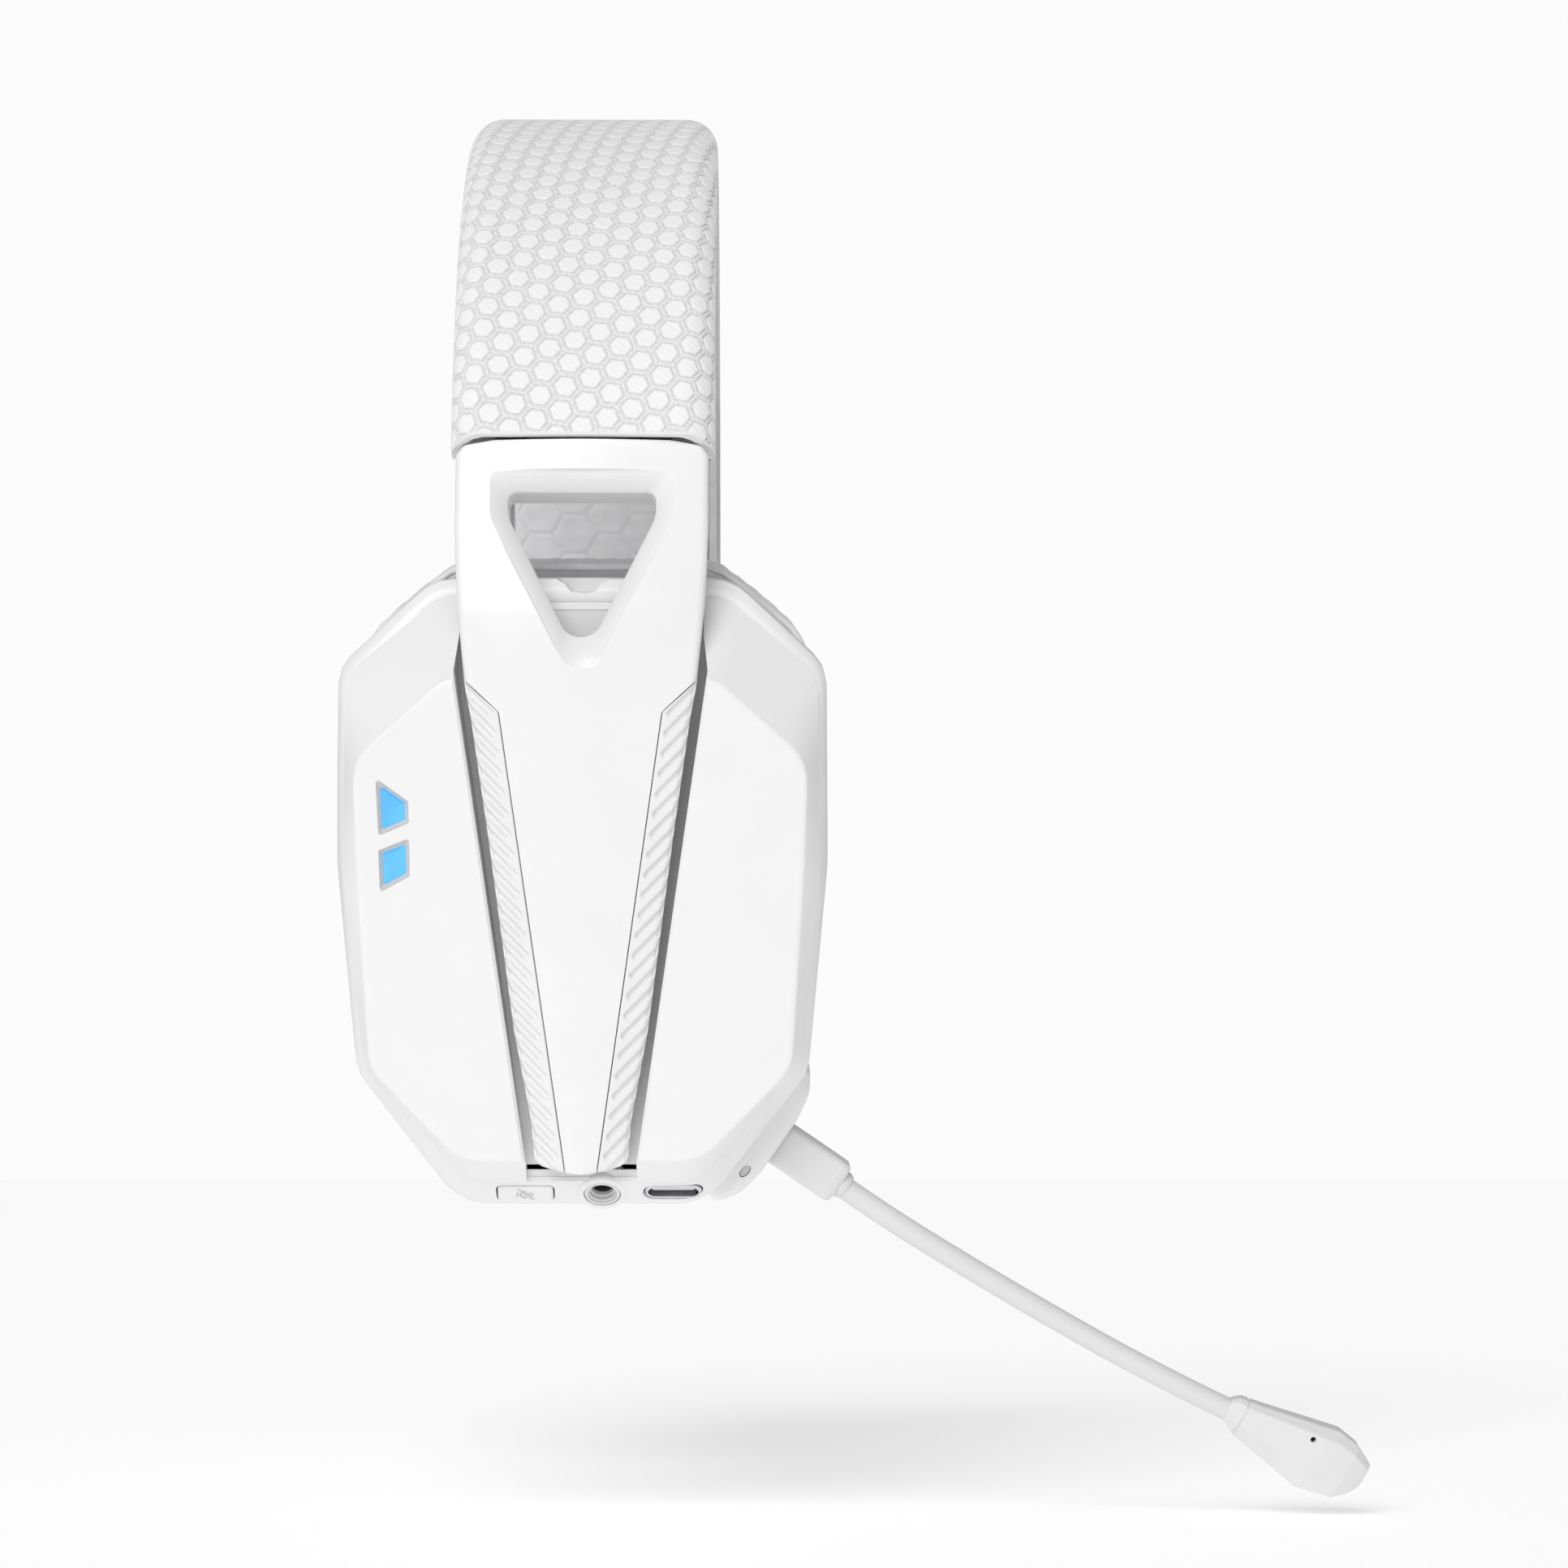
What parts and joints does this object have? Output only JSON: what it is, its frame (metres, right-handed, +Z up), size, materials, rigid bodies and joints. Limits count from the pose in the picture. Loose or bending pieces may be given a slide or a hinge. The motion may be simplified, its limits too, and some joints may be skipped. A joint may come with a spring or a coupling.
{
  "type": "gaming headset",
  "caption": "Over-ear wireless headset: padded arched headband, sliding arms with three-cornered windows, tilting ear cups and a plug-in gooseneck microphone.",
  "frame": {"origin": "crown of the headband pad's underside, where the headset rests on the head", "axes": "+X the way the wearer looks, +Y to the wearer's left, +Z up"},
  "size_m": [0.1659, 0.1676, 0.2335],
  "materials": {
    "white_plastic": "satin white moulded plastic",
    "grip_plastic": "satin white ribbed plastic",
    "light_grey_plastic": "satin light grey plastic",
    "boom_rubber": "matt light grey sleeve",
    "dark_plastic": "matt dark plastic",
    "cover_fabric": "embossed light fabric wrap",
    "pad_fabric": "soft embossed fabric",
    "cushion_fabric": "soft light grey cushion cover",
    "speaker_cloth": "thin dark cloth",
    "steel": "brushed",
    "port_metal": "bright",
    "magnet": "plated",
    "light_lens": "clear blue lit lens",
    "board": "printed circuit board",
    "battery": "foil pouch",
    "diaphragm": "thin film"
  },
  "bodies": {
    "headband": {"headband_cover": "cover_fabric", "headband_pad": "pad_fabric", "headband_frame": "dark_plastic", "spring_band": "steel", "right_slider_guide": "dark_plastic", "left_slider_guide": "dark_plastic"},
    "right_arm": {"right_arm_shell": "white_plastic", "right_arm_inner_cover": "white_plastic", "right_slider_strip": "steel", "right_front_grip_inlay": "grip_plastic", "right_rear_grip_inlay": "grip_plastic", "right_hinge_pin": "steel"},
    "right_cup": {"right_face_plate": "white_plastic", "right_rear_shell": "white_plastic", "right_baffle": "dark_plastic", "right_driver_frame": "dark_plastic", "right_driver_magnet": "magnet", "right_diaphragm": "diaphragm", "right_speaker_cloth": "speaker_cloth", "right_ear_cushion": "cushion_fabric", "right_upper_light_lens": "light_lens", "right_lower_light_lens": "light_lens", "right_light_board": "board", "right_hinge_bracket": "steel", "main_board": "board", "jack_socket": "port_metal", "usb_socket": "port_metal", "status_lens": "dark_plastic", "mic_socket": "dark_plastic"},
    "left_arm": {"left_arm_shell": "white_plastic", "left_arm_inner_cover": "white_plastic", "left_slider_strip": "steel", "left_front_grip_inlay": "grip_plastic", "left_rear_grip_inlay": "grip_plastic", "left_hinge_pin": "steel"},
    "left_cup": {"left_face_plate": "white_plastic", "left_rear_shell": "white_plastic", "left_baffle": "dark_plastic", "left_driver_frame": "dark_plastic", "left_driver_magnet": "magnet", "left_diaphragm": "diaphragm", "left_speaker_cloth": "speaker_cloth", "left_ear_cushion": "cushion_fabric", "left_upper_light_lens": "light_lens", "left_lower_light_lens": "light_lens", "left_light_board": "board", "left_hinge_bracket": "steel", "battery": "battery", "wheel_encoder": "dark_plastic"},
    "mute_button": {"mute_button": "white_plastic"},
    "power_button": {"power_button": "white_plastic"},
    "volume_wheel": {"volume_wheel": "light_grey_plastic"},
    "mic": {"mic_barrel": "light_grey_plastic", "mic_plug_pin": "port_metal", "mic_boom_lower": "boom_rubber"},
    "mic_tip": {"mic_boom_upper": "boom_rubber", "mic_head": "light_grey_plastic", "mic_head_cover": "light_grey_plastic", "mic_capsule": "dark_plastic"}
  },
  "joints": [
    {"name": "right_slider", "type": "slide", "parent": "headband", "child": "right_arm", "axis": [0, -0.165, -0.9863], "range_m": [0, 0.02]},
    {"name": "right_cup_tilt", "type": "hinge", "parent": "right_arm", "child": "right_cup", "pos_m": [0, -0.07112, -0.13194], "axis": [1, 0, 0], "range_deg": [-4, 4]},
    {"name": "left_slider", "type": "slide", "parent": "headband", "child": "left_arm", "axis": [0, 0.165, -0.9863], "range_m": [0, 0.02]},
    {"name": "left_cup_tilt", "type": "hinge", "parent": "left_arm", "child": "left_cup", "pos_m": [0, 0.07112, -0.13194], "axis": [1, 0, 0], "range_deg": [-4, 4]},
    {"name": "mute_button_press", "type": "slide", "parent": "right_cup", "child": "mute_button", "axis": [0, 0.6102, 0.7922], "range_m": [0, 0.0005], "stiffness_N_per_m": 500, "springref_m": -0.0005},
    {"name": "power_button_press", "type": "slide", "parent": "left_cup", "child": "power_button", "axis": [0, -0.6102, 0.7922], "range_m": [0, 0.0005], "stiffness_N_per_m": 500, "springref_m": -0.0005},
    {"name": "volume_wheel_turn", "type": "hinge", "parent": "left_cup", "child": "volume_wheel", "pos_m": [-0.0306, 0.05774, -0.14016], "axis": [0, 0.9903, -0.1392], "continuous": true},
    {"name": "mic_unplug", "type": "slide", "parent": "right_cup", "child": "mic", "axis": [0.8241, 0.0788, -0.5609], "range_m": [0, 0.015]},
    {"name": "mic_boom_bend", "type": "hinge", "parent": "mic", "child": "mic_tip", "pos_m": [0.0665, -0.0495, -0.18444], "axis": [0, -0.9903, -0.1392], "range_deg": [-30, 30]}
  ]
}
